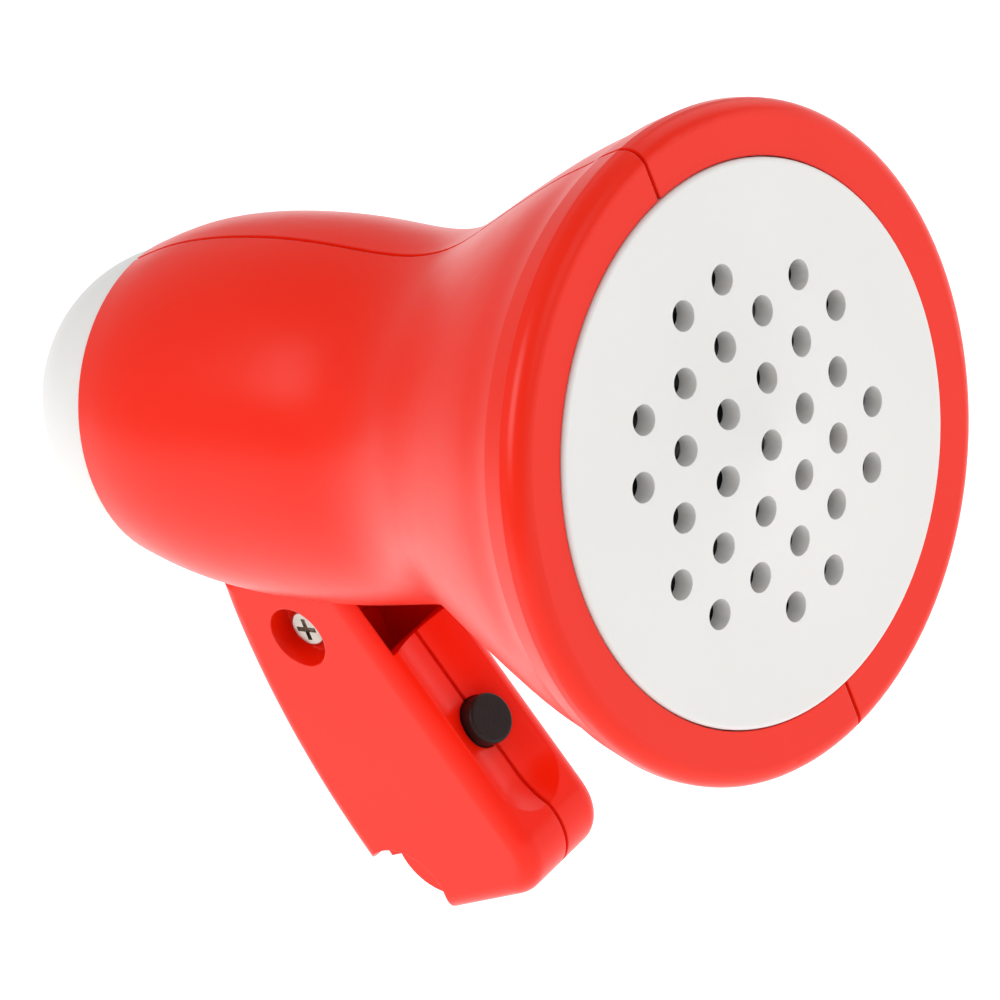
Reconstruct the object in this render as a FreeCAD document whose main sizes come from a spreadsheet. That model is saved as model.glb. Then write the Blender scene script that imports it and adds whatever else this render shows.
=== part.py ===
import FreeCAD, Part
import math
import os
import re
import Sketcher

# Pocket-size handheld megaphone with a voice changer, in millimetres.
# +X runs forward along the horn, +Y to the holder's left, +Z up.
# The origin is the middle of the grip, where a hand closes round the handle.
# Every piece is first drawn in the horn's frame, whose zero is the middle of
# the grille's outer face, and the last step moves all of them to the grip.

Vector = FreeCAD.Vector
Rotation = FreeCAD.Rotation
Placement = FreeCAD.Placement

doc = FreeCAD.newDocument("megaphone")
sheet = doc.addObject("Spreadsheet::Sheet", "Dims")

# ---------------------------------------------------------------- dimensions
DIMENSIONS = [
    # where the grip's middle lies, seen from the grille's middle
    ("grip_back", 64.0), ("grip_drop", 38.0),
    # moulded housing
    ("wall", 1.6), ("overlap", 0.8), ("groove_deep", 0.45), ("groove_half", 0.22),
    ("cover_gap", 0.35),
    # front ring
    ("ring_front", -2.5), ("ring_bore", 27.4), ("ring_flat", 31.2), ("ring_round", 1.75),
    ("ring_out", 32.9), ("ring_wide", -4.3), ("ring_edge", -5.2), ("ring_edge_r", 32.85),
    ("snap_front", -4.5), ("snap_back", -5.9), ("snap_bore", 28.75),
    ("seat_bore", 25.15), ("seat_back", -7.45), ("shelf_bore", 23.4), ("shelf_back", -9.0),
    ("seat_wall", 26.4), ("web_back", -7.1),
    # grille
    ("grille_r", 27.27), ("grille_edge", -2.1), ("grille_sphere", 178.1),
    ("grille_thick", 2.2), ("grille_skirt", 24.2), ("grille_lip", 28.6),
    ("lip_front", -4.6), ("lip_back", -5.8), ("hole_pitch", 6.35), ("hole_r", 1.5),
    ("hole_round", 0.4),
    # mouthpiece dome at the rear
    ("mouth_x", -76.4), ("mouth_up", 0.5), ("mouth_r", 15.5), ("mouth_deep", 14.8),
    ("mouth_wall", 1.4), ("mouth_front", -71.6), ("mouth_bore", 15.65),
    ("bore_front", -70.0),
    ("bead_r", 16.0), ("bead_front", -73.1), ("bead_back", -74.1), ("bead_slack", 0.12),
    ("collar_r", 5.4), ("collar_front", -79.0), ("collar_back", -89.6),
    ("mic_hole_r", 0.6), ("mic_hole_ring", 2.4), ("mic_hole_back", -95.0),
    ("mic_hole_front", -88.0),
    # handle
    ("half_width", 6.0), ("shell", 1.2), ("cheek_round", 2.0), ("lean", 20.7),
    ("front_x", -53.19), ("front_z", -36.33), ("front_up", 26.0), ("front_down", 11.51),
    ("toe_x", -52.87), ("toe_z", -54.37), ("toe_round", 5.5),
    ("heel_x", -64.86), ("heel_z", -57.5), ("heel_round", 5.0),
    ("rear_x", -70.74), ("rear_z", -54.53), ("rear_round", 84.33),
    ("nape_x", -77.15), ("nape_z", -21.0), ("crown_x", -77.0), ("crown_z", -17.6),
    ("notch_x", -67.75), ("notch_z", -54.85), ("notch_r", 5.15),
    ("gap_edge", 11.3), ("front_thick", 2.6),
    ("dish_deep", 1.3), ("dish_r", 7.4), ("dish_low", 6.4), ("dish_high", 20.0),
    ("pit_deep", 3.2), ("front_end", 10.5),
    # screws and their bosses
    ("cover_screw_x", -68.5), ("cover_screw_z", -23.8), ("recess_r", 3.4), ("recess_wall", 1.0),
    ("head_sunk", 1.45), ("head_tall", 1.35), ("head_r", 2.2), ("shank_r", 1.15),
    ("shank_hole", 1.2), ("boss_r", 2.6), ("boss_face", -2.1), ("seat_thick", 1.05),
    ("stem_front", -67.8), ("stem_rear", -72.4), ("stem_low", -33.2),
    ("head_bore", 2.7), ("head_boss", 3.7), ("head_seat", 7.0), ("screw_reach", 12.0),
    ("cover_reach", 6.5), ("head_soft", 0.5), ("slot_deep", 0.75), ("slot_half", 0.28),
    ("slot_arm", 1.25),
    ("fix_a_x", -65.0), ("fix_a_z", 12.3), ("fix_b_x", -31.0), ("fix_b_z", 14.5),
    ("fix_c_x", -55.0), ("fix_c_z", -12.3), ("fix_d_x", -31.0), ("fix_d_z", -14.5),
    # push button and its switch, sizes along the button's own axis
    ("button_r", 2.6), ("button_hole", 2.7), ("button_out", 0.7), ("button_round", 0.35),
    ("flange_r", 3.7), ("flange_top", -2.75), ("flange_low", -3.75), ("pusher_r", 1.5),
    ("pusher_low", -5.0), ("pad_top", -8.2), ("pad_thick", 1.0), ("pad_wide", 9.0),
    ("pad_long", 11.0), ("pill_top", -6.2), ("pill_low", -6.9), ("skirt_tall", 0.6),
    ("dome_neck", 2.2), ("dome_waist", 2.4), ("dome_foot", 3.6), ("skirt_in", 2.8),
    ("dome_in", 1.8), ("rib_in", 4.2), ("rib_out", 5.4), ("rib_tall", 1.3),
    # button cells and their tray, sizes down the tray's own axis
    ("tray_lean", 15.0), ("tray_x", -69.7), ("tray_z", -35.0), ("cell_r", 3.95),
    ("cell_tall", 3.6), ("tray_half", 4.1), ("tray_wall", 1.0), ("tray_long", 15.2),
    ("tray_rim", -4.0), ("tray_floor", 4.1), ("tray_gap", 0.3), ("tray_end_x", -63.7),
    ("lead_hole_x", -63.0),
    ("lead_hole_y", 2.9), ("lead_hole_r", 1.5), ("tray_end_z", -50.9), ("tray_end_r", 5.1),
    ("spring_room", 4.0), ("leaf_half", 3.0),
    ("leaf_wide", 2.0), ("leaf_thick", 0.25), ("leaf_bend", 0.4), ("leaf_tip", -0.75),
    ("leaf_end", -2.2), ("plate_thick", 0.4), ("plate_half", 3.4), ("cell_step", 0.4),
    ("cell_rim", 0.8),
    # loudspeaker
    ("speaker_r", 25.0), ("flange_front", -6.6), ("flange_thick", 0.8), ("frame_mouth", 22.2),
    ("frame_deep", -15.0), ("frame_neck", 13.0), ("plate_front", -15.8), ("plate_back", -17.8),
    ("plate_r", 11.0), ("gap_out", 6.1), ("magnet_back", -22.3), ("magnet_r", 13.0),
    ("magnet_hole", 7.0), ("yoke_back", -24.3), ("yoke_r", 12.4), ("pole_r", 5.0),
    ("coil_in", 5.35), ("coil_out", 5.75), ("coil_back", -18.2), ("cone_deep", -13.2),
    ("cone_rim", -7.0), ("cone_r", 19.4), ("cone_lip", 20.4), ("cone_thick", 0.35),
    ("roll_in", 20.4), ("roll_out", 22.4), ("roll_front", -6.3), ("roll_thick", 0.3),
    ("roll_r", 1.4),
    ("cap_r", 6.6), ("cap_foot", -12.6), ("cap_tall", 1.8), ("cap_thick", 0.3),
    ("gasket_in", 23.0),
    # electronics in the barrel
    ("board_front", -41.5), ("board_long", 24.0), ("board_half", 13.0), ("board_low", -4.0),
    ("board_thick", 1.0), ("ledge_in", 11.8), ("ledge_tall", 1.5), ("chip_back", -57.0),
    ("chip_long", 9.9), ("chip_wide", 6.0), ("chip_tall", 1.6), ("can_r", 2.5), ("can_tall", 6.0),
    ("can_a_x", -61.5), ("can_a_y", 7.5), ("can_b_x", -44.5), ("can_b_y", -8.0),
    ("mic_r", 3.0), ("mic_front", -80.4), ("mic_back", -84.9), ("boot_r", 4.3),
    ("boot_front", -78.6), ("boot_back", -85.0), ("fit", 0.05),
]
for row, (alias, value) in enumerate(DIMENSIONS, 1):
    sheet.set("A%d" % row, alias)
    sheet.set("B%d" % row, str(value))
    sheet.setAlias("B%d" % row, alias)

# Cross-sections of the horn's skin: distance along the horn, rise of the middle,
# half width and half height. The flare is round, the barrel a little taller.
STATIONS = [
    (-8.0, 0.0, 31.85, 31.85), (-13.0, 0.0, 29.75, 29.75), (-18.0, 0.0, 27.5, 27.5),
    (-23.0, 0.0, 25.0, 25.0), (-28.0, 0.0, 22.4, 22.4), (-33.0, 0.1, 19.8, 20.1),
    (-38.0, 0.3, 17.9, 18.95), (-43.0, 0.45, 17.2, 18.95), (-48.0, 0.5, 17.5, 19.45),
    (-54.0, 0.5, 17.85, 19.87), (-60.0, 0.52, 18.0, 19.75), (-66.0, 0.55, 17.95, 19.1),
    (-71.5, 0.55, 17.4, 17.9), (-76.4, 0.5, 16.25, 16.26),
]
LETTERS = "abcdefghijklmn"
row = len(DIMENSIONS) + 1
ALIASES = {alias for alias, value in DIMENSIONS}
for letter, values in zip(LETTERS, STATIONS):
    for word, value in zip(("x", "up", "wide", "tall"), values):
        alias = "skin%s_%s" % (letter, word)
        sheet.set("A%d" % row, alias)
        sheet.set("B%d" % row, str(value))
        sheet.setAlias("B%d" % row, alias)
        ALIASES.add(alias)
        row += 1
doc.recompute()


# ------------------------------------------------------------------- helpers
def formula(text):
    """Turn a formula over dimension names into one that points at the sheet."""
    def point(match):
        word = match.group()
        return "Dims." + word if word in ALIASES else word
    return re.sub(r"[a-z_]+[a-z_0-9]*", point, str(text))


def size(text):
    """The present value of a formula."""
    return float(sheet.evalExpression(formula(text)))


def bind(piece, **sizes):
    for name, text in sizes.items():
        piece.setExpression(name, formula(text))
    return piece


def put(piece, x=0, y=0, z=0, turn=None, angle=0):
    """Place a piece, its position bound to the sheet."""
    if turn:
        piece.Placement = Placement(Vector(), Rotation(Vector(*turn), size(angle)))
    for axis, text in (("x", x), ("y", y), ("z", z)):
        piece.setExpression("Placement.Base." + axis, formula(text))
    return piece


def rod(name, radius, start, end, axis="x", **at):
    """A cylinder along a row axis, from start to end."""
    turns = {"x": ((0, 1, 0), 90), "y": ((1, 0, 0), -90), "z": (None, 0)}
    piece = bind(doc.addObject("Part::Cylinder", name), Radius=radius,
                 Height="(%s) - (%s)" % (end, start))
    at[axis] = start
    turn, angle = turns[axis]
    return put(piece, turn=turn, angle=angle, **at)


def block(name, x, y, z):
    """A box between two values on each axis."""
    piece = doc.addObject("Part::Box", name)
    bind(piece, Length="(%s) - (%s)" % (x[1], x[0]), Width="(%s) - (%s)" % (y[1], y[0]),
         Height="(%s) - (%s)" % (z[1], z[0]))
    return put(piece, x[0], y[0], z[0])


def fuse(name, *pieces):
    whole = doc.addObject("Part::MultiFuse", name)
    whole.Shapes = list(pieces)
    whole.Refine = False
    return whole


def cut(name, base, *tools):
    tool = tools[0] if len(tools) == 1 else fuse(name + "_tools", *tools)
    result = doc.addObject("Part::Cut", name)
    result.Base = base
    result.Tool = tool
    result.Refine = False
    return result


def common(name, base, tool):
    result = doc.addObject("Part::Common", name)
    result.Base = base
    result.Tool = tool
    result.Refine = False
    return result


def arc_middle(start, end, radius, side):
    """A point half way round the shorter arc; side +1 bulges to the left."""
    chord = end - start
    half = chord.Length / 2
    rise = radius - math.sqrt(max(radius * radius - half * half, 0))
    left = Vector(-chord.y, chord.x, 0).normalize()
    return (start + end) * 0.5 + left * rise * side


def draw(sketch, path):
    """Draw a closed outline. A corner is (x, z), or (x, z, radius, side) where
    an arc leads to the next corner. Corners and radii are bound to the sheet."""
    corners = [Vector(size(point[0]), size(point[1]), 0) for point in path]
    ends = []
    for index, point in enumerate(path):
        start = corners[index]
        end = corners[(index + 1) % len(path)]
        if len(point) == 2:
            number = sketch.addGeometry(Part.LineSegment(start, end), False)
        else:
            middle = arc_middle(start, end, size(point[2]), point[3])
            number = sketch.addGeometry(Part.Arc(start, middle, end), False)
        first = 1 if sketch.getPoint(number, 1).distanceToPoint(start) < 1e-6 else 2
        ends.append((number, first, 3 - first))
    for index, point in enumerate(path):
        number, first, last = ends[index]
        after, after_first, _ = ends[(index + 1) % len(path)]
        sketch.addConstraint(Sketcher.Constraint("Coincident", number, last, after, after_first))
        for kind, text, value in (("DistanceX", point[0], corners[index].x),
                                  ("DistanceY", point[1], corners[index].y)):
            place = sketch.addConstraint(Sketcher.Constraint(kind, number, first, value))
            sketch.setExpression("Constraints[%d]" % place, formula(text))
        if len(point) == 4:
            place = sketch.addConstraint(
                Sketcher.Constraint("Radius", number, size(point[2])))
            sketch.setExpression("Constraints[%d]" % place, formula(point[2]))
    return sketch


def plane_sketch(body, name, role):
    sketch = body.newObject("Sketcher::SketchObject", name)
    plane = [item for item in body.Origin.OriginFeatures if item.Role == role][0]
    sketch.AttachmentSupport = (plane, "")
    sketch.MapMode = "FlatFace"
    return sketch


def turned(name, path, up=None):
    """A PartDesign body turned round the horn's axis, or round a line above it."""
    body = doc.addObject("PartDesign::Body", name)
    sketch = draw(plane_sketch(body, name + "_profile", "XZ_Plane"), path)
    turn = body.newObject("PartDesign::Revolution", name + "_turn")
    turn.Profile = sketch
    turn.ReferenceAxis = (sketch, ["H_Axis"])
    turn.Angle = 360
    sketch.Visibility = False
    if up:
        put(body, z=up)
    return body


def side_sketch(name, path):
    """A free sketch in the XZ plane, with x along the horn and z up."""
    sketch = doc.addObject("Sketcher::SketchObject", name)
    sketch.Placement = Placement(Vector(), Rotation(Vector(1, 0, 0), 90))
    return draw(sketch, path)


def inset(name, source, distance):
    """The same outline drawn a set distance further in."""
    offset = doc.addObject("Part::Offset2D", name)
    offset.Source = source
    offset.Mode = "Pipe"
    offset.Join = "Arc"
    return bind(offset, Value="-(%s)" % distance)


def slab(name, outline, start, end):
    """An outline in the XZ plane carried across from y=start to y=end."""
    piece = doc.addObject("Part::Extrusion", name)
    piece.Base = outline
    piece.DirMode = "Custom"
    piece.Dir = Vector(0, 1, 0)
    piece.Solid = True
    bind(piece, LengthFwd=end, LengthRev="-(%s)" % start)
    return piece


def rounded(name, base, radius, chosen):
    """Round every edge that the test picks."""
    doc.recompute()
    piece = doc.addObject("Part::Fillet", name)
    piece.Base = base
    reach = size(radius)
    piece.Edges = [(number, reach, reach) for number, edge in enumerate(base.Shape.Edges, 1)
                   if chosen(edge)]
    return piece


def skin(name, margin):
    """The horn's smooth skin through its oval stations, drawn in by a margin."""
    rings = []
    for letter in LETTERS:
        ring = doc.addObject("Part::Ellipse", "%s_%s" % (name, letter))
        bind(ring, MajorRadius="skin%s_tall - (%s)" % (letter, margin),
             MinorRadius="skin%s_wide - (%s)" % (letter, margin))
        put(ring, "skin%s_x" % letter, 0, "skin%s_up" % letter, turn=(0, 1, 0), angle=-90)
        rings.append(ring)
    surface = doc.addObject("Part::Loft", name)
    surface.Sections = rings
    surface.Solid = True
    surface.Ruled = False
    return surface


# ------------------------------------------------------------ housing blanks
ring_path = [
    ("ring_front", "ring_bore"), ("ring_front", "ring_flat", "ring_round", -1),
    ("ring_wide", "ring_out"), ("ring_edge", "ring_edge_r"), ("skina_x", "skina_tall"),
    ("skina_x", "skina_tall - wall"), ("web_back", "skina_tall - wall + 0.3"),
    ("web_back", "seat_wall"), ("shelf_back", "seat_wall"), ("shelf_back", "shelf_bore"),
    ("seat_back", "shelf_bore"), ("seat_back", "seat_bore"), ("snap_back", "seat_bore"),
    ("snap_back", "snap_bore"), ("snap_front", "snap_bore"), ("snap_front", "ring_bore"),
]
front_ring = turned("front_ring", ring_path)
outer_skin = skin("outer_skin", "0")
inner_skin = common("inner_skin", skin("inner_form", "wall"),
                    block("inner_reach", ("bore_front", "5"), ("-45", "45"), ("-45", "45")))
rear_bore = rod("rear_bore", "mouth_bore", "mouth_x - 1", "bore_front", z="mouth_up")
bead_groove = rod("bead_groove", "bead_r + bead_slack", "bead_back - bead_slack",
                  "bead_front + bead_slack", z="mouth_up")
tube = cut("tube", outer_skin, inner_skin, rear_bore, bead_groove)
groove_core = skin("groove_core", "groove_deep")

# ------------------------------------------------------------- handle blanks
# A leaning frame: where it starts, and how far it leans from upright.
FRONT = ("front_x", "front_z", "lean")
TRAY = ("tray_x", "tray_z", "tray_lean")


def leaning(frame, out="0", down="0"):
    """x and z of a point in a leaning frame: so far out of it and down along it."""
    x, z, lean = frame
    return ("%s + (%s) * cos(%s) + (%s) * sin(%s)" % (x, out, lean, down, lean),
            "%s + (%s) * sin(%s) - (%s) * cos(%s)" % (z, out, lean, down, lean))


handle_path = [
    leaning(FRONT, "0", "-front_up"), ("crown_x", "crown_z"), ("nape_x", "nape_z", "rear_round", -1),
    ("rear_x", "rear_z", "heel_round", -1), ("heel_x", "heel_z"),
    ("toe_x", "toe_z", "toe_round", -1), leaning(FRONT, "0", "front_down"),
]
handle_side = side_sketch("handle_side", handle_path)
handle_hollow = inset("handle_hollow", handle_side, "shell")
handle_groove = inset("handle_groove", handle_side, "groove_deep")
tray_limit = inset("tray_limit", handle_side, "shell + tray_gap")


def leaning_box(name, frame, out, down, across):
    """A box squared to a leaning frame."""
    piece = doc.addObject("Part::Box", name)
    bind(piece, Length="(%s) - (%s)" % (out[1], out[0]),
         Width="(%s) - (%s)" % (across[1], across[0]), Height="(%s) - (%s)" % (down[1], down[0]))
    x, z = leaning(frame, out[0], down[1])
    return put(piece, x, across[0], z, turn=(0, 1, 0), angle="-" + frame[2])


def out_rod(name, radius, low, high):
    """A cylinder along the button's axis, square to the front face."""
    piece = bind(doc.addObject("Part::Cylinder", name), Radius=radius,
                 Height="(%s) - (%s)" % (high, low))
    x, z = leaning(FRONT, low)
    return put(piece, x, 0, z, turn=(0, 1, 0), angle="90 - lean")


def down_rod(name, radius, top, bottom):
    """A cylinder down the middle of the battery tray."""
    piece = bind(doc.addObject("Part::Cylinder", name), Radius=radius,
                 Height="(%s) - (%s)" % (bottom, top))
    x, z = leaning(TRAY, "0", top)
    return put(piece, x, 0, z, turn=(0, 1, 0), angle="180 - tray_lean")


def dish(name, margin):
    """The finger trough round the button, or one a margin deeper: a rod that
    lies along the front face, with a ball on its lower end."""
    lift = "dish_r - dish_deep"
    trough = bind(doc.addObject("Part::Cylinder", name + "_rod"), Radius="dish_r + " + margin,
                  Height="dish_low + dish_high")
    x, z = leaning(FRONT, lift, "dish_low")
    put(trough, x, 0, z, turn=(0, 1, 0), angle="-lean")
    ball = doc.addObject("Part::Sphere", name + "_ball")
    bind(ball, Radius="dish_r + " + margin)
    put(ball, x, 0, z)
    return fuse(name, trough, ball)


# ---------------------------------------------------------------- seam groove
ring_core = turned("ring_core", [
    ("ring_front - groove_deep", "0"), ("ring_front - groove_deep", "ring_flat"),
    ("ring_wide", "ring_out - groove_deep"), ("ring_edge", "ring_edge_r - groove_deep"),
    ("skina_x - 1", "skina_tall - groove_deep"), ("skina_x - 1", "0"),
])
seam_plate = block("seam_plate", ("-95", "5"), ("-groove_half", "groove_half"), ("-65", "40"))
handle_core = slab("handle_core", handle_groove, "-1", "1")
seam_line = cut("seam_line", seam_plate, groove_core, ring_core, handle_core)
dish_line = common("dish_line", seam_plate, dish("dish_line_form", "groove_deep"))
finger_dish = dish("finger_dish", "0")
button_bore = out_rod("button_bore", "button_hole", "-6", "3")
pit_front = leaning_box("pit_front", FRONT, ("-pit_deep", "3"),
                        ("-front_up", "-gap_edge"), ("shell - half_width", "half_width - shell"))
front_tools = [finger_dish, button_bore, pit_front, seam_line, dish_line]

# ------------------------------------------------------- screw places, bosses
HOUSING_SCREWS = [(name, "fix_%s_x" % name, "fix_%s_z" % name) for name in "abcd"]
skin_middle = skin("skin_middle", "overlap")
cover_clear = skin("cover_clear", "-cover_gap")


def ledge(name, near, far):
    """A shelf along one side of the barrel that carries the main board."""
    return block(name, ("board_front - board_long", "board_front"), (near, far),
                 ("board_low - ledge_tall", "board_low"))


def bosses(side, radius, start, end):
    return [rod("boss_%s_%s" % (side, name), radius, start, end, "y", x=x, z=z)
            for name, x, z in HOUSING_SCREWS]


# ------------------------------------------------------------- housing, left
left_space = block("left_space", ("-95", "5"), ("0", "45"), ("-65", "40"))
right_space = block("right_space", ("-95", "5"), ("-45", "0"), ("-65", "40"))


def on_cheek(level):
    """True for the edges that bound a flat cheek at this y."""
    def test(edge):
        return all(abs(vertex.Point.y - size(level)) < 1e-4 for vertex in edge.Vertexes)
    return test


left_slab = slab("left_slab", handle_side, "0", "half_width")
left_handle = rounded("left_handle", left_slab, "cheek_round", on_cheek("half_width"))
left_hollow = slab("left_hollow", handle_hollow, "-1", "half_width - shell")
left_walls = cut("left_walls", left_handle, left_hollow)
left_front = leaning_box("left_front", FRONT, ("-front_thick", "-shell / 2"),
                         ("-gap_edge", "front_end"), ("0", "half_width - shell + 0.1"))
stem = block("stem", ("stem_rear", "stem_front"), ("boss_face", "half_width - shell / 2"),
             ("stem_low", "-15"))
cover_boss = rod("cover_boss", "boss_r", "boss_face", "half_width - shell / 2", "y",
                 x="cover_screw_x", z="cover_screw_z")
tray_block = leaning_box("tray_block", TRAY, ("-tray_half - tray_wall", "tray_half + tray_wall"),
                         ("-tray_wall", "tray_long + tray_wall"),
                         ("tray_rim", "half_width - shell / 2"))
tray_end = rod("tray_end", "tray_end_r", "tray_rim", "half_width - shell / 2", "y",
               x="tray_end_x", z="tray_end_z")
tray_inside = slab("tray_inside", tray_limit, "-half_width", "half_width")
tray_trimmed = common("tray_trimmed", fuse("tray_blank", tray_block, tray_end), tray_inside)
tray_trough = leaning_box("tray_trough", TRAY, ("-tray_half", "tray_half"), ("0", "tray_long"),
                          ("tray_rim - 1", "tray_floor"))
switch_ribs = [
    leaning_box("switch_rib_%s" % name, FRONT, ("pad_top - pad_thick - rib_tall",
                "pad_top - pad_thick - fit"), (low, high), ("0", "half_width - shell / 2"))
    for name, low, high in (("upper", "-rib_out", "-rib_in"), ("lower", "rib_in", "rib_out"))]
left_inner = fuse("left_inner", left_walls, left_front, stem, cover_boss, tray_trimmed,
                  *switch_ribs)
cover_pilot = rod("cover_pilot", "shank_hole", "-5", "half_width - 2 * shell", "y",
                  x="cover_screw_x", z="cover_screw_z")
right_of_seam = common("right_of_seam", skin("stem_clear", "-fit"), right_space)
left_handle_done = cut("left_handle_done", left_inner, tray_trough, cover_pilot, skin_middle,
                       right_of_seam, *front_tools)

left_shell = common("left_shell", fuse("housing_blank", front_ring, tube), left_space)
left_bosses = common("left_bosses", fuse("left_boss_rods", *bosses("left", "head_boss", "0", "30"),
                                         ledge("left_ledge", "ledge_in", "30")), skin_middle)
head_bores = [rod("head_bore_" + name, "head_bore", "head_seat", "35", "y", x=x, z=z)
              for name, x, z in HOUSING_SCREWS]
shank_bores = [rod("shank_bore_" + name, "shank_hole", "-5", "10", "y", x=x, z=z)
               for name, x, z in HOUSING_SCREWS]
lead_hole = rod("lead_hole", "lead_hole_r", "-23", "-10", "z", x="lead_hole_x", y="lead_hole_y")
left_body = fuse("left_body", cut("left_barrel", fuse("left_with_bosses", left_shell, left_bosses),
                                  *head_bores, *shank_bores, seam_line, lead_hole), left_handle_done)

# ------------------------------------------------------------ housing, right
right_shell = common("right_shell", fuse("housing_blank_right", front_ring, tube), right_space)
right_bosses = common("right_bosses", fuse("right_boss_rods",
                                           *bosses("right", "boss_r", "-30", "0"),
                                           ledge("right_ledge", "-30", "-ledge_in")), skin_middle)
pilot_bores = [rod("pilot_bore_" + name, "shank_hole", "head_seat - screw_reach - 1", "1", "y",
                   x=x, z=z) for name, x, z in HOUSING_SCREWS]
right_body = cut("right_body", fuse("right_with_bosses", right_shell, right_bosses),
                 *pilot_bores, seam_line)

# ------------------------------------------------------------- battery cover
right_slab = slab("right_slab", handle_side, "-half_width", "0")
right_handle = rounded("right_handle", right_slab, "cheek_round", on_cheek("-half_width"))
right_hollow = slab("right_hollow", handle_hollow, "shell - half_width", "1")
cover_front = leaning_box("cover_front", FRONT, ("-front_thick", "-shell / 2"),
                          ("-gap_edge", "front_end"), ("shell - half_width - 0.1", "0"))
recess_floor = "head_sunk + head_tall - half_width"
pocket = rod("pocket", "recess_r + recess_wall", "shell / 2 - half_width",
             recess_floor + " + seat_thick", "y", x="cover_screw_x", z="cover_screw_z")
recess = rod("recess", "recess_r", "-half_width - 1", recess_floor, "y",
             x="cover_screw_x", z="cover_screw_z")
recess_hole = rod("recess_hole", "shank_hole", "-half_width", "0", "y",
                  x="cover_screw_x", z="cover_screw_z")
notch = rod("notch", "notch_r", "-half_width - 1", "1", "y", x="notch_x", z="notch_z")
cover_body = cut("cover_body", fuse("cover_blank", cut("cover_walls", right_handle, right_hollow),
                                    cover_front, pocket),
                 recess, recess_hole, notch, cover_clear, *front_tools)

# -------------------------------------------------------------------- grille
grille = turned("grille", [
    ("0", "0"), ("-grille_thick", "0", "grille_sphere - grille_thick", 1),
    ("grille_edge - grille_thick", "grille_skirt"), ("lip_back", "grille_skirt"),
    ("lip_back", "grille_lip"), ("lip_front", "grille_lip"), ("lip_front", "grille_r"),
    ("grille_edge", "grille_r", "grille_sphere", -1),
])
rows = range(-3, 4)
HOLES = [(column + 0.5 * row, row * math.sqrt(0.75)) for row in rows for column in range(-4, 5)
         if math.hypot(column + 0.5 * row, row * math.sqrt(0.75)) < 2.7]
hole_sketch = plane_sketch(grille, "grille_holes", "YZ_Plane")
for across, up in HOLES:
    circle = hole_sketch.addGeometry(
        Part.Circle(Vector(across * size("hole_pitch"), up * size("hole_pitch"), 0),
                    Vector(0, 0, 1), size("hole_r")), False)
    for kind, amount in (("DistanceX", across), ("DistanceY", up)):
        place = hole_sketch.addConstraint(
            Sketcher.Constraint(kind, circle, 3, amount * size("hole_pitch")))
        hole_sketch.setExpression("Constraints[%d]" % place, formula("%.6f * hole_pitch" % amount))
    place = hole_sketch.addConstraint(Sketcher.Constraint("Radius", circle, size("hole_r")))
    hole_sketch.setExpression("Constraints[%d]" % place, formula("hole_r"))
holes = grille.newObject("PartDesign::Pocket", "grille_pocket")
holes.Profile = hole_sketch
holes.Type = "ThroughAll"
holes.Midplane = True
doc.recompute()
soft_edges = grille.newObject("PartDesign::Fillet", "grille_soft_edges")
soft_edges.Base = (holes, ["Edge%d" % number for number, edge in
                           enumerate(holes.Shape.Edges, 1)
                           if edge.Closed and edge.BoundBox.XMax > size("grille_edge") - 0.01
                           and edge.BoundBox.XMin > size("grille_edge") - 0.01])
bind(soft_edges, Radius="hole_round")

# ---------------------------------------------------------------- mouthpiece
dome_r = "((mouth_r * mouth_r + mouth_deep * mouth_deep) / (2 * mouth_deep))"
dome = turned("dome", [
    ("mouth_x - mouth_deep", "0", dome_r, 1), ("mouth_x", "mouth_r"), ("bead_back", "mouth_r"),
    ("bead_back", "bead_r"), ("bead_front", "bead_r"), ("bead_front", "mouth_r"),
    ("mouth_front", "mouth_r"), ("mouth_front", "mouth_r - mouth_wall"),
    ("mouth_x", "mouth_r - mouth_wall", dome_r + " - mouth_wall", -1),
    ("mouth_x - mouth_deep + mouth_wall", "0"),
], up="mouth_up")
collar = cut("collar",
             rod("collar_out", "collar_r", "collar_back", "collar_front", z="mouth_up"),
             rod("collar_in", "boot_r + fit", "collar_back - 1", "collar_front + 1", z="mouth_up"))
mic_holes = [rod("mic_hole_middle", "mic_hole_r", "mic_hole_back", "mic_hole_front",
                 z="mouth_up")]
for turn in range(6):
    mic_holes.append(rod("mic_hole_%d" % turn, "mic_hole_r", "mic_hole_back", "mic_hole_front",
                         y="mic_hole_ring * cos(%d)" % (60 * turn),
                         z="mouth_up + mic_hole_ring * sin(%d)" % (60 * turn)))
mouth_body = cut("mouth_body", fuse("mouth_blank", dome, collar), *mic_holes)

# --------------------------------------------------------------- microphone
boot = cut("boot", rod("boot_out", "boot_r", "boot_back", "boot_front", z="mouth_up"),
           rod("boot_in", "mic_r + fit", "boot_back - 1", "mic_front + fit", z="mouth_up"))
capsule = rod("capsule", "mic_r", "mic_back", "mic_front", z="mouth_up")

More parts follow.
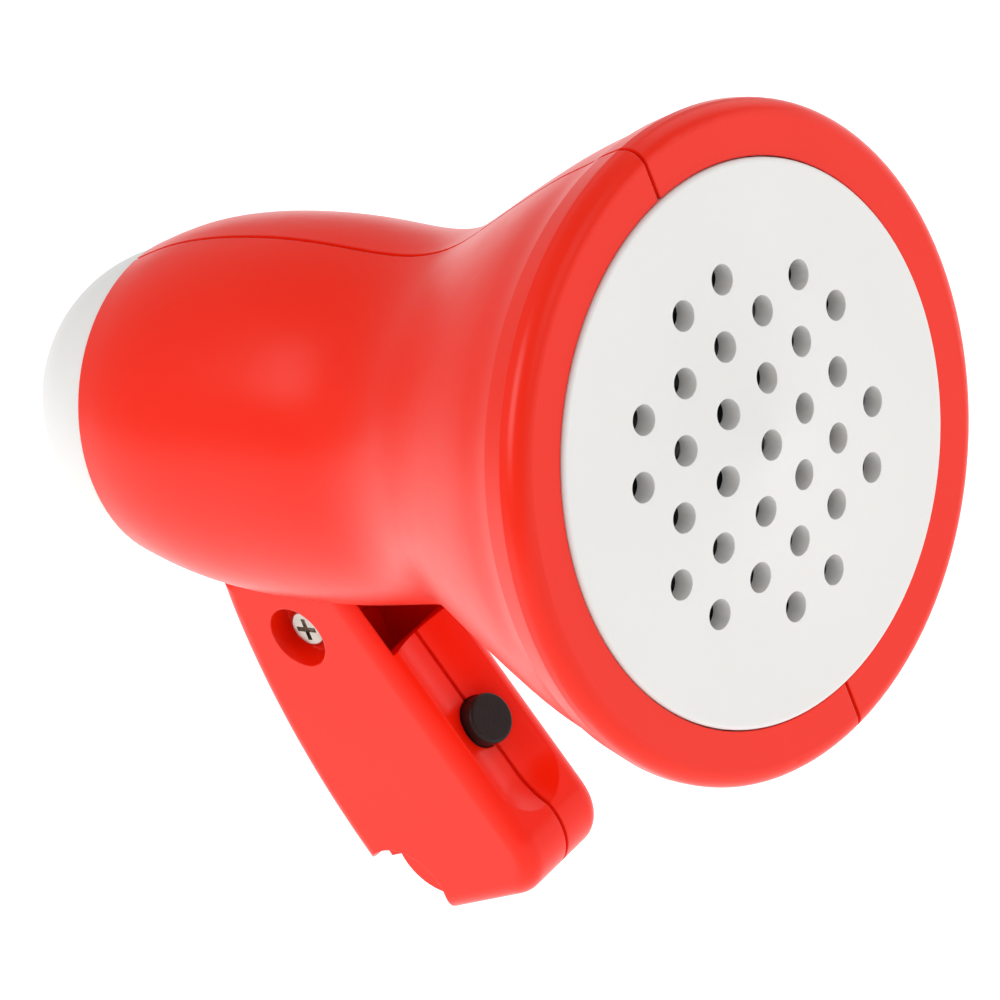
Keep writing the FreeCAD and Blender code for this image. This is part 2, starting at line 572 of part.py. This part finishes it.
# --------------------------------------------------------------- loudspeaker
back = "flange_front - flange_thick"
basket = turned("basket", [
    ("flange_front", "frame_mouth"), ("flange_front", "speaker_r"), (back, "speaker_r"),
    (back, "frame_mouth + flange_thick"), ("plate_front", "frame_neck + flange_thick"),
    ("plate_front", "frame_neck - 5"), ("frame_deep", "frame_neck - 5"),
    ("frame_deep", "frame_neck"), (back, "frame_mouth"),
])
top_plate = turned("top_plate", [
    ("plate_front", "gap_out"), ("plate_front", "plate_r"), ("plate_back", "plate_r"),
    ("plate_back", "gap_out")])
magnet = turned("magnet", [
    ("plate_back", "magnet_hole"), ("plate_back", "magnet_r"), ("magnet_back", "magnet_r"),
    ("magnet_back", "magnet_hole")])
yoke = turned("yoke", [
    ("plate_front", "0"), ("plate_front", "pole_r"), ("magnet_back", "pole_r"),
    ("magnet_back", "yoke_r"), ("yoke_back", "yoke_r"), ("yoke_back", "0")])
coil = turned("coil", [
    ("cone_deep - cone_thick", "coil_in"), ("cone_deep - cone_thick", "coil_out"),
    ("coil_back", "coil_out"), ("coil_back", "coil_in")])
cone = turned("cone", [
    ("cone_rim", "cone_r"), ("cone_rim", "cone_lip"), ("cone_rim - cone_thick", "cone_lip"),
    ("cone_rim - cone_thick", "cone_r"), ("cone_deep - cone_thick", "coil_in"),
    ("cone_deep", "coil_in")])
cap_sphere = "((cap_r * cap_r + cap_tall * cap_tall) / (2 * cap_tall))"
cap = turned("cap", [
    ("cap_foot + cap_tall", "0"),
    ("cap_foot + cap_tall - cap_thick", "0", cap_sphere + " - cap_thick", -1),
    ("cap_foot", "sqrt((%s - cap_thick) ^ 2 - (%s - cap_tall) ^ 2)" % (cap_sphere, cap_sphere)),
    ("cap_foot", "cap_r", cap_sphere, 1)])
surround = turned("surround", [
    ("roll_front - roll_thick", "speaker_r"), ("roll_front", "speaker_r"),
    ("roll_front", "roll_out", "roll_r", 1), ("cone_rim + roll_thick", "roll_in"),
    ("cone_rim + roll_thick", "cone_r"), ("cone_rim", "cone_r"),
    ("cone_rim", "roll_in + roll_thick / 2", "roll_r - roll_thick", -1),
    ("roll_front - roll_thick", "roll_out - roll_thick / 2")])
gasket = turned("gasket", [
    ("lip_back", "gasket_in"), ("lip_back", "speaker_r"), ("roll_front", "speaker_r"),
    ("roll_front", "gasket_in")])

# --------------------------------------------------------------- electronics
board_top = "board_low + board_thick"
board = block("board", ("board_front - board_long", "board_front"), ("-board_half", "board_half"),
              ("board_low", board_top))
chip = block("chip", ("chip_back", "chip_back + chip_long"),
             ("-chip_wide / 2", "chip_wide / 2"), (board_top, board_top + " + chip_tall"))
cans = [rod("can_" + name, "can_r", board_top, board_top + " + can_tall", "z",
            x="can_%s_x" % name, y="can_%s_y" % name) for name in "ab"]

# -------------------------------------------------------------------- button
button_blank = out_rod("button_blank", "button_r", "flange_low", "button_out")
button_soft = rounded("button_soft", button_blank, "button_round",
                      lambda edge: edge.Closed and edge.BoundBox.Center.x > size("front_x"))
button_body = fuse("button_body", button_soft,
                   out_rod("button_flange", "flange_r", "flange_low", "flange_top"),
                   out_rod("button_pusher", "pusher_r", "pusher_low", "flange_low"))
rubber_dome = turned("rubber_dome", [
    ("pusher_low", "0"), ("pusher_low", "dome_neck"), ("pill_top - 0.2", "dome_waist"),
    ("pad_top + skirt_tall", "dome_foot"), ("pad_top", "dome_foot"), ("pad_top", "skirt_in"),
    ("pad_top + skirt_tall - 0.2", "skirt_in"), ("pill_top", "dome_in"), ("pill_top", "0")])
x, z = leaning(FRONT)
put(rubber_dome, x, 0, z, turn=(0, 1, 0), angle="-lean")
pill = out_rod("pill", "pusher_r", "pill_low", "pill_top")
pad_board = leaning_box("pad_board", FRONT, ("pad_top - pad_thick", "pad_top"),
                        ("-pad_long / 2", "pad_long / 2"), ("-pad_wide / 2", "pad_wide / 2"))

# ------------------------------------------------------------------- battery
cells = []
for number in range(3):
    top = "spring_room + %d * cell_tall" % number
    cells.append(fuse("cell_%d" % number,
                      down_rod("cell_can_%d" % number, "cell_r", top + " + cell_step",
                               top + " + cell_tall"),
                      down_rod("cell_end_%d" % number, "cell_r - cell_rim", top,
                               top + " + cell_step")))
contact_plate = leaning_box("cell_plate", TRAY, ("-plate_half", "plate_half"),
                            ("tray_long - plate_thick", "tray_long"),
                            ("-plate_half", "plate_half"))
leaf_outline = side_sketch("leaf_outline", [leaning(TRAY, out, down) for out, down in (
    ("-leaf_half", "fit"), ("leaf_half", "fit"), ("leaf_half", "fit + leaf_bend"),
    ("leaf_tip", "spring_room - fit"), ("leaf_end", "spring_room - fit"),
    ("leaf_end", "spring_room - fit - leaf_thick"),
    ("leaf_tip - 0.1", "spring_room - fit - leaf_thick"),
    ("leaf_half - leaf_thick", "fit + leaf_thick"), ("-leaf_half", "fit + leaf_thick"))])
leaf_spring = slab("leaf_spring", leaf_outline, "-leaf_wide", "leaf_wide")

# -------------------------------------------------------------------- screws
def screw(name, seat, way, reach, x, z):
    """A pan-head self-tapping screw along Y; way is +1 when it drives to +Y."""
    top = "(%s) - (%d) * head_tall" % (seat, way)
    tip = "(%s) + (%d) * (%s)" % (seat, way, reach)
    ends = (top, seat) if way > 0 else (seat, top)
    head = rounded(name + "_head", rod(name + "_disc", "head_r", *ends, "y", x=x, z=z),
                   "head_soft",
                   lambda edge: edge.Closed and abs(edge.BoundBox.Center.y - size(top)) < 1e-4)
    ends = (seat, tip) if way > 0 else (tip, seat)
    shank = rod(name + "_shank", "shank_r", *ends, "y", x=x, z=z)
    deep = ((top + " - 0.1", top + " + slot_deep") if way > 0
            else (top + " - slot_deep", top + " + 0.1"))
    slots = []
    for letter, along, up in (("a", "slot_arm", "slot_half"), ("b", "slot_half", "slot_arm")):
        slots.append(block(name + "_slot_" + letter, (x + " - " + along, x + " + " + along), deep,
                           (z + " - " + up, z + " + " + up)))
    return cut(name, fuse(name + "_blank", head, shank), *slots)


cover_screw = screw("cover_fixing", recess_floor, 1, "cover_reach", "cover_screw_x", "cover_screw_z")
housing_screws = [screw("fixing_" + name, "head_seat", -1, "screw_reach", x, z)
                  for name, x, z in HOUSING_SCREWS]

# ------------------------------------------------------------- named pieces
PIECES = {
    "housing_left": [left_body],
    "housing_right": [right_body],
    "battery_cover": [cover_body],
    "cover_screw": [cover_screw],
    "housing_screws": housing_screws,
    "speaker_grille": [grille],
    "mouthpiece": [mouth_body],
    "microphone": [capsule],
    "microphone_boot": [boot],
    "speaker_basket": [basket],
    "speaker_top_plate": [top_plate],
    "speaker_magnet": [magnet],
    "speaker_yoke": [yoke],
    "speaker_cone": [cone],
    "speaker_dust_cap": [cap],
    "speaker_surround": [surround],
    "voice_coil": [coil],
    "speaker_gasket": [gasket],
    "main_board": [board],
    "voice_chip": [chip],
    "capacitors": cans,
    "talk_button": [button_body],
    "switch_dome": [rubber_dome],
    "contact_pill": [pill],
    "switch_board": [pad_board],
    "button_cell_1": [cells[0]],
    "button_cell_2": [cells[1]],
    "button_cell_3": [cells[2]],
    "battery_spring": [leaf_spring],
    "contact_plate": [contact_plate],
}
nodes = []
for label, solids in PIECES.items():
    node = doc.addObject("Part::Compound", "node_" + label)
    node.Label = label
    node.Links = solids
    put(node, "grip_back", 0, "grip_drop")
    nodes.append(node)
doc.recompute()

# ------------------------------------------------------------ checks, export
faults = [item.Name for item in doc.Objects if "Invalid" in item.State or "Error" in item.State]
for node in nodes:
    shape = node.Shape
    if shape.isNull() or not shape.isValid() or shape.Volume <= 0:
        faults.append(node.Label)
if faults:
    raise SystemExit("failed: " + ", ".join(faults))

os.makedirs("parts", exist_ok=True)
whole = FreeCAD.BoundBox()
for node in nodes:
    box = node.Shape.BoundBox
    whole.add(box)
    node.Shape.exportStep("parts/%s.step" % node.Label)
    print("%-18s %d solid(s) %9.1f mm3" % (node.Label, len(node.Shape.Solids), node.Shape.Volume))
print("%d pieces, overall %.1f x %.1f x %.1f mm" % (len(nodes), whole.XLength, whole.YLength,
                                                   whole.ZLength))
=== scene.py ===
import bpy
from mathutils import Matrix, Vector


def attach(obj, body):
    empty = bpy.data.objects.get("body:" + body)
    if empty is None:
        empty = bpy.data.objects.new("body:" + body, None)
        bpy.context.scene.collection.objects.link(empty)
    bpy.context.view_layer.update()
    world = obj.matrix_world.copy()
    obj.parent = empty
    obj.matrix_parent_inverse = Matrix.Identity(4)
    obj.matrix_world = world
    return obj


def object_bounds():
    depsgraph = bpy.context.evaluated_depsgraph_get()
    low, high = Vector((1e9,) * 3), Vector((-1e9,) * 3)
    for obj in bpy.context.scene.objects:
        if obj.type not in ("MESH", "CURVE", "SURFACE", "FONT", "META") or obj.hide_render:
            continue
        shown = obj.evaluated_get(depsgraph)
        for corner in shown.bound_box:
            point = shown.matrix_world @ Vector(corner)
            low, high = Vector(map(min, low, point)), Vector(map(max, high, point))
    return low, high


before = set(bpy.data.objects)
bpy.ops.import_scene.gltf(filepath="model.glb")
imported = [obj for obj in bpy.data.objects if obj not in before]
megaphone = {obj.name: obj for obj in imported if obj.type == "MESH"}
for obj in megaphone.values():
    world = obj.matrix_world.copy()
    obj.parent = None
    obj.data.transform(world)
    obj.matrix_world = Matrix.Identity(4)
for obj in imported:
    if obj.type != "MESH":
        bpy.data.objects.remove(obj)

# %% [markdown]
# # A pocket megaphone, dressed piece by piece
# The shapes arrive already packed: a red flared horn, a white grille and dome,
# a short leaning handle with a push button, and the works inside. This lesson
# gives every one of them a finish that is built from nodes, adds the loose
# wiring that joins the works, and lights the toy like a catalogue shot.
# We keep the imported box first: the floor and the light panels are placed from it.

# %% The imported box
MM_IN_METRE = 1000
packed_low, packed_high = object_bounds()
print("packed size in mm:", [round(MM_IN_METRE * side, 1) for side in packed_high - packed_low])

# %% [markdown]
# ## Small tools for finishes
# Every finish below is one Principled shader with a little texture behind its
# colour, its roughness and its bump. Writing the noise, the ramp and the bump
# out by hand each time would hide what is special about a finish, so each of
# them is written once, as a helper. Textures read the Object coordinates, which are
# metres here, so a scale of 1000 gives one wave to the millimetre.

# %% Node helpers
BUMP_STRENGTH = 1.0
BEVEL_SAMPLES = 6


def set_sockets(node, constants):
    """Put constants on a node's own sockets, named as Coat_Weight for Coat Weight."""
    for socket, constant in constants.items():
        node.inputs[socket.replace("_", " ")].default_value = constant


def new_finish(name, **constants):
    """A fresh material with one Principled shader; constants go on its own sockets."""
    finish = bpy.data.materials.new(name)
    finish.use_nodes = True
    shader = finish.node_tree.nodes["Principled BSDF"]
    set_sockets(shader, constants)
    return finish, finish.node_tree, shader


def noise(tree, scale, detail=3.0, stretch=(1.0, 1.0, 1.0)):
    """Cloudy noise over the piece, in waves to the metre, drawn out where stretch is small."""
    place = tree.nodes.new("ShaderNodeTexCoord")
    mapping = tree.nodes.new("ShaderNodeMapping")
    mapping.inputs["Scale"].default_value = stretch
    cloud = tree.nodes.new("ShaderNodeTexNoise")
    cloud.inputs["Scale"].default_value = scale
    cloud.inputs["Detail"].default_value = detail
    tree.links.new(place.outputs["Object"], mapping.inputs["Vector"])
    tree.links.new(mapping.outputs["Vector"], cloud.inputs["Vector"])
    return cloud.outputs["Fac"]


def pattern(tree, kind, **constants):
    """A regular texture over the piece, such as Voronoi, Wave or Brick."""
    texture = tree.nodes.new("ShaderNodeTex" + kind)
    set_sockets(texture, constants)
    place = tree.nodes.new("ShaderNodeTexCoord")
    tree.links.new(place.outputs["Object"], texture.inputs["Vector"])
    return texture


def spread(tree, value, low, high):
    """Stretch a value that runs from 0 to 1 over another range."""
    node = tree.nodes.new("ShaderNodeMapRange")
    node.inputs["To Min"].default_value = low
    node.inputs["To Max"].default_value = high
    tree.links.new(value, node.inputs["Value"])
    return node.outputs["Result"]


def blend_colours(tree, value, first, second):
    """Fade between two colours as a value goes from 0 to 1."""
    ramp = tree.nodes.new("ShaderNodeValToRGB")
    ramp.color_ramp.elements[0].color = (*first, 1.0)
    ramp.color_ramp.elements[1].color = (*second, 1.0)
    tree.links.new(value, ramp.inputs["Fac"])
    return ramp.outputs["Color"]


def raise_surface(tree, shader, value, depth):
    """Bump the shader by a value that runs from 0 to 1, to a depth in metres."""
    bump = tree.nodes.new("ShaderNodeBump")
    bump.inputs["Strength"].default_value = BUMP_STRENGTH
    bump.inputs["Distance"].default_value = depth
    tree.links.new(value, bump.inputs["Height"])
    tree.links.new(bump.outputs["Normal"], shader.inputs["Normal"])
    return bump


def soften_edges(tree, bump, radius):
    """Shade sharp edges as if they were rounded by this radius, in metres."""
    bevel = tree.nodes.new("ShaderNodeBevel")
    bevel.samples = BEVEL_SAMPLES
    bevel.inputs["Radius"].default_value = radius
    tree.links.new(bevel.outputs["Normal"], bump.inputs["Normal"])


def dress(finish, *names):
    """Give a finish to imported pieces."""
    for name in names:
        slots = megaphone[name].data.materials
        slots.clear()
        slots.append(finish)
    print(finish.name, "on", ", ".join(names))


# %% [markdown]
# ## Glossy red shell
# The horn, the handle and the battery cover are one glossy opaque red, moulded
# in polished steel. Polished mouldings are never flat mirrors: the plastic
# shrinks as it sets, and the skin keeps faint flow marks where it filled the
# mould. Both are far too shallow to feel, so they go into the colour and the
# roughness, and the bump stays at a few thousandths of a millimetre. The red
# mirrors the white tent, which would wash it out, so its specular level is
# kept low and the colour stays deep. Edges that the mould leaves crisp still
# catch a thin glint: a Bevel node bends the shading there as if the corner
# were worn round.

# %% Red shell finish
RED = (0.93, 0.020, 0.0015)
RED_DEEP = (0.86, 0.013, 0.0008)
RED_GLOSS = (0.26, 0.33)
SHELL_FLOW = 0.000004
WORN_EDGE = 0.00025
red_shell, tree, shader = new_finish("red_shell", IOR=1.50, Specular_IOR_Level=0.28)
flow = noise(tree, 45.0, 2.0, (0.35, 1.0, 1.0))
tree.links.new(blend_colours(tree, flow, RED_DEEP, RED), shader.inputs["Base Color"])
tree.links.new(spread(tree, noise(tree, 300.0, 2.0), *RED_GLOSS), shader.inputs["Roughness"])
moulded = raise_surface(tree, shader, noise(tree, 120.0, 0.0), SHELL_FLOW)
soften_edges(tree, moulded, WORN_EDGE)
dress(red_shell, "housing_left", "housing_right", "battery_cover")

# %% [markdown]
# ## White grille and mouthpiece
# Both white parts come out of one mould and are a touch less shiny than the
# shell. White plastic glows a little where it is thin, so it gets more light
# under the skin than the red. A faint grey mottling stops it looking like
# paper.

# %% White plastic finish
WHITE = (0.84, 0.83, 0.81)
WHITE_DULL = (0.80, 0.79, 0.77)
GLOW_DEPTH = 0.0010
WHITE_GLOSS = (0.38, 0.46)
WHITE_GRAIN = 0.000010
white_plastic, tree, shader = new_finish("white_plastic", IOR=1.49)
shader.inputs["Subsurface Weight"].default_value = 0.25
shader.inputs["Subsurface Radius"].default_value = (1.0, 0.9, 0.8)
shader.inputs["Subsurface Scale"].default_value = GLOW_DEPTH
tree.links.new(blend_colours(tree, noise(tree, 60.0), WHITE_DULL, WHITE), shader.inputs["Base Color"])
tree.links.new(spread(tree, noise(tree, 300.0, 5.0), *WHITE_GLOSS), shader.inputs["Roughness"])
raise_surface(tree, shader, noise(tree, 3200.0), WHITE_GRAIN)
dress(white_plastic, "speaker_grille", "mouthpiece")

# %% [markdown]
# ## Black button and chip
# The button is moulded with a spark-eroded grain, so it stays dull even where
# a thumb has rubbed it. Cells of a Voronoi texture look more like that grain
# than smooth noise does. The voice chip on the board takes the same black.

# %% Black grained finish
BLACK = (0.006, 0.004, 0.004)
BLACK_RUBBED = (0.014, 0.010, 0.010)
GRAIN_CELLS = 4200.0
GRAIN_DEPTH = 0.00002
black_grain, tree, shader = new_finish("black_grain", IOR=1.48, Specular_IOR_Level=0.30)
grain = pattern(tree, "Voronoi", Scale=GRAIN_CELLS)
tree.links.new(blend_colours(tree, noise(tree, 500.0), BLACK, BLACK_RUBBED), shader.inputs["Base Color"])
tree.links.new(spread(tree, noise(tree, 900.0), 0.42, 0.58), shader.inputs["Roughness"])
raise_surface(tree, shader, grain.outputs["Distance"], GRAIN_DEPTH)
dress(black_grain, "talk_button", "voice_chip")

# %% [markdown]
# ## Screws, cells and drawn steel
# The screws are nickel plated, with fine marks from tumbling in the plating
# barrel. The speaker's frame, its plates and the cells are plain drawn sheet,
# where the rolls leave long streaks: noise that is stretched along one axis
# makes those.

# %% Metal finishes
def metal(name, dark, light, rough, streak, depth):
    """Bare metal, its marks drawn out along an axis where streak is small."""
    finish, tree, shader = new_finish(name, Metallic=1.0)
    lines = noise(tree, 900.0, 4.0, streak)
    tree.links.new(blend_colours(tree, lines, dark, light), shader.inputs["Base Color"])
    tree.links.new(spread(tree, lines, *rough), shader.inputs["Roughness"])
    raise_surface(tree, shader, lines, depth)
    return finish


ALONG_HORN = (0.1, 1, 1)
nickel = metal("nickel", (0.40, 0.35, 0.31), (0.66, 0.60, 0.54), (0.12, 0.26), (1, 1, 1), 0.00001)
drawn_steel = metal("drawn_steel", (0.42, 0.42, 0.41), (0.66, 0.66, 0.65), (0.25, 0.42),
                    ALONG_HORN, 0.00001)
dress(nickel, "cover_screw", "housing_screws")
dress(drawn_steel, "speaker_basket", "speaker_top_plate", "speaker_yoke", "microphone",
      "button_cell_1", "button_cell_2", "button_cell_3", "battery_spring", "contact_plate")

# %% [markdown]
# ## The loudspeaker's soft parts
# The cone, its dust cap and its surround are thin dark film, glossy enough to
# catch a glint through the holes of the grille. The magnet is sintered
# ferrite, which breaks and grinds to a dull dark grey, and the foam ring is
# all small cells. The rubber boot, the switch's milky dome and the capacitors'
# sleeves differ from these only in their numbers, so one helper makes all six.

# %% Film, ferrite, foam and rubber finishes
def plain_finish(name, dark, light, rough, scale, depth, ior=1.5):
    """A non-metal finish: mottled colour, mottled roughness and one bump."""
    finish, tree, shader = new_finish(name, IOR=ior)
    mottle = noise(tree, scale, 4.0)
    tree.links.new(blend_colours(tree, mottle, dark, light), shader.inputs["Base Color"])
    tree.links.new(spread(tree, mottle, *rough), shader.inputs["Roughness"])
    raise_surface(tree, shader, mottle, depth)
    return finish


dark_film = plain_finish("dark_film", (0.020, 0.024, 0.022), (0.040, 0.045, 0.042), (0.12, 0.25), 400.0,
                         0.00002)
ferrite = plain_finish("ferrite", (0.035, 0.035, 0.038), (0.075, 0.075, 0.080), (0.55, 0.75), 1500.0,
                       0.00004)
foam = plain_finish("foam", (0.05, 0.05, 0.055), (0.12, 0.12, 0.125), (0.85, 0.95), 3000.0, 0.00010)
black_rubber = plain_finish("black_rubber", (0.015, 0.015, 0.016), (0.03, 0.03, 0.03), (0.6, 0.75),
                            1200.0, 0.00002)
milky_rubber = plain_finish("milky_rubber", (0.50, 0.51, 0.52), (0.62, 0.63, 0.64), (0.4, 0.55), 500.0,
                            0.00002, 1.41)
can_black = plain_finish("can_black", (0.012, 0.014, 0.020), (0.022, 0.024, 0.032), (0.25, 0.35), 300.0,
                         0.00001)
dress(dark_film, "speaker_cone", "speaker_dust_cap", "speaker_surround")
dress(ferrite, "speaker_magnet")
dress(foam, "speaker_gasket")
dress(black_rubber, "microphone_boot", "contact_pill")
dress(milky_rubber, "switch_dome")
dress(can_black, "capacitors")

# %% [markdown]
# ## Wound copper
# The voice coil is a single layer of enamelled wire. A Wave texture banded
# along the horn draws the turns. One of its waves is about 0.314 of its unit,
# so a scale of 800 gives two or three turns to the millimetre.

# %% Copper winding finish
WIRE_HEIGHT = 0.00004
copper, tree, shader = new_finish("copper_winding", Metallic=1.0)
turns = pattern(tree, "Wave", Scale=800.0)
turns.bands_direction = "X"
tree.links.new(blend_colours(tree, turns.outputs["Fac"], (0.35, 0.12, 0.04), (0.80, 0.36, 0.16)),
               shader.inputs["Base Color"])
tree.links.new(spread(tree, noise(tree, 800.0), 0.25, 0.4), shader.inputs["Roughness"])
raise_surface(tree, shader, turns.outputs["Fac"], WIRE_HEIGHT)
dress(copper, "voice_coil")

# %% [markdown]
# ## Printed boards
# Green solder mask is a clear lacquer over copper tracks, so the tracks show
# as lighter, slightly raised bands. A Brick texture makes believable bands of
# copper without drawing a real circuit.

# %% Green board finish
TRACK_HEIGHT = 0.00002
green_board, tree, shader = new_finish("green_board", IOR=1.5, Coat_Weight=0.4, Coat_Roughness=0.15)
tracks = pattern(tree, "Brick", Scale=160.0, Mortar_Size=0.06, Mortar=(0.03, 0.24, 0.09, 1.0),
                 Color1=(0.010, 0.10, 0.035, 1.0), Color2=(0.012, 0.13, 0.045, 1.0))
tree.links.new(tracks.outputs["Color"], shader.inputs["Base Color"])
tree.links.new(spread(tree, noise(tree, 700.0), 0.35, 0.5), shader.inputs["Roughness"])
raise_surface(tree, shader, tracks.outputs["Fac"], TRACK_HEIGHT)
dress(green_board, "main_board", "switch_board")

# %% [markdown]
# ## Wiring
# Thin leads join the works: two run from the board to the loudspeaker and two
# from the microphone to the board. A wire keeps its thickness and bends
# softly, so each is a tube swept along a smooth curve through a few listed
# points. A NURBS curve rounds every bend by itself, and the bevel
# gives it its thickness.

# %% Leads
LEAD_RADIUS = 0.0004
LEAD_FACETS = 3
LEADS = {
    "speaker_lead_plus": ("red", [(20, 4, 35.4), (26, 6, 38), (35, 12, 45), (44, 14, 50),
                                  (49.6, 12.4, 49.4)]),
    "speaker_lead_minus": ("black", [(20, 1, 35.4), (27, 3, 38), (36, 8, 47), (44, 10, 53),
                                     (49.6, 9.4, 51.8)]),
    "microphone_lead_live": ("white", [(-16.1, 0.8, 38.9), (-12, 1.4, 39.4), (-6, 2.4, 38),
                                       (0.4, 2.8, 35.4)]),
    "microphone_lead_ground": ("black", [(-16.1, -0.8, 38.1), (-12, -1.4, 38.4), (-6, -2.4, 37),
                                         (0.4, -2.8, 35.4)]),
}
LEAD_COLOURS = {
    "red": ((0.45, 0.01, 0.01), (0.60, 0.02, 0.02)),
    "black": ((0.01, 0.01, 0.01), (0.025, 0.025, 0.025)),
    "white": ((0.70, 0.70, 0.68), (0.80, 0.80, 0.78)),
}
lead_finish = {word: plain_finish("lead_" + word, *pair, (0.35, 0.5), 900.0, 0.00001)
               for word, pair in LEAD_COLOURS.items()}


def lead(name, colour, points):
    """A round insulated wire along a smooth curve; points are in millimetres from the grip."""
    path = bpy.data.curves.new(name, "CURVE")
    path.dimensions = "3D"
    path.bevel_depth = LEAD_RADIUS
    path.bevel_resolution = LEAD_FACETS
    path.use_fill_caps = True
    line = path.splines.new("NURBS")
    line.points.add(len(points) - 1)
    for knot, point in zip(line.points, points):
        knot.co = (*(side / MM_IN_METRE for side in point), 1.0)
    line.order_u = 3
    line.use_endpoint_u = True
    path.materials.append(lead_finish[colour])
    wire = bpy.data.objects.new(name, path)
    bpy.context.scene.collection.objects.link(wire)
    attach(wire, "housing")
    return wire


leads = [lead(name, *colour_and_route) for name, colour_and_route in LEADS.items()]
print(len(leads), "leads, each", 2 * LEAD_RADIUS * MM_IN_METRE, "mm thick")

# %% [markdown]
# ## Camera
# The megaphone is seen from its right, in front and a little above, through a
# long lens, so its near and far parts keep nearly the same scale. A camera
# looks along its own -Z, so three directions at right angles make its
# rotation: right, up and back.

# %% Camera
EYE = Vector((0.72076, -0.61502, 0.48594))
EYE_RIGHT = Vector((0.73767, 0.58715, -0.33332)).normalized()
EYE_BACK = Vector((0.67238, -0.59411, 0.44152)).normalized()
LENS_MM = 381.6
SENSOR_MM = 36.0

eye_up = EYE_BACK.cross(EYE_RIGHT).normalized()
eye_right = eye_up.cross(EYE_BACK).normalized()
lens = bpy.data.cameras.new("catalogue_lens")
lens.lens = LENS_MM
lens.sensor_width = SENSOR_MM
lens.clip_start = 0.05
lens.clip_end = 20.0
camera = bpy.data.objects.new("catalogue_camera", lens)
turn = Matrix((eye_right, eye_up, EYE_BACK)).transposed()
camera.matrix_world = Matrix.Translation(EYE) @ turn.to_4x4()
bpy.context.scene.collection.objects.link(camera)
bpy.context.scene.camera = camera
print("camera is", round(EYE.length, 2), "m from the grip")

# %% [markdown]
# ## Floor and light tent
# A catalogue shot is taken in a tent of white cloth: light arrives from all
# round, and the red turns pale only where it mirrors the cloth at a glancing
# angle. A bright world plays the cloth, the floor is a broad pale sheet, and
# three soft panels give the shape its light and dark sides.

# %% Floor
FLOOR_DROP = 0.030
FLOOR_REACH = 6.0
PAPER_GLOW = 0.55
floor_mesh = bpy.data.meshes.new("tent_floor")
corners = [(-1, -1), (1, -1), (1, 1), (-1, 1)]
floor_mesh.from_pydata([(x * FLOOR_REACH, y * FLOOR_REACH, 0) for x, y in corners], [],
                       [(0, 1, 2, 3)])
floor = bpy.data.objects.new("tent_floor", floor_mesh)
floor.location.z = packed_low.z - FLOOR_DROP
bpy.context.scene.collection.objects.link(floor)
paper, tree, shader = new_finish("white_paper", IOR=1.45)
shader.inputs["Roughness"].default_value = 0.9
tree.links.new(blend_colours(tree, noise(tree, 40.0), (0.90, 0.90, 0.90), (0.93, 0.93, 0.93)),
               shader.inputs["Base Color"])
shader.inputs["Emission Color"].default_value = (1.0, 1.0, 1.0, 1.0)
shader.inputs["Emission Strength"].default_value = PAPER_GLOW
floor.data.materials.append(paper)
print("floor", FLOOR_DROP * MM_IN_METRE, "mm below the handle")

# %% Light tent
CLOTH_GLOW = 0.50
world = bpy.data.worlds.new("light_tent")
world.use_nodes = True
cloth = world.node_tree.nodes["Background"]
cloth.inputs["Color"].default_value = (1.0, 1.0, 1.0, 1.0)
cloth.inputs["Strength"].default_value = CLOTH_GLOW
bpy.context.scene.world = world
bpy.context.scene.view_settings.view_transform = "Standard"


def soft_panel(name, spot, side, watts):
    """A square panel that faces the megaphone's middle."""
    data = bpy.data.lights.new(name, "AREA")
    data.size = side
    data.energy = watts
    panel = bpy.data.objects.new(name, data)
    panel.location = spot
    aim = (packed_low + packed_high) / 2 - Vector(spot)
    panel.rotation_euler = aim.to_track_quat("-Z", "Y").to_euler()
    bpy.context.scene.collection.objects.link(panel)
    print(name, "at", round(aim.length, 2), "m")


soft_panel("key_panel", (-0.25, -0.75, 0.75), 0.6, 4.5)
soft_panel("front_panel", (0.9, 0.1, 0.55), 0.7, 1.2)
soft_panel("left_panel", (0.1, 0.9, 0.5), 0.8, 2.0)
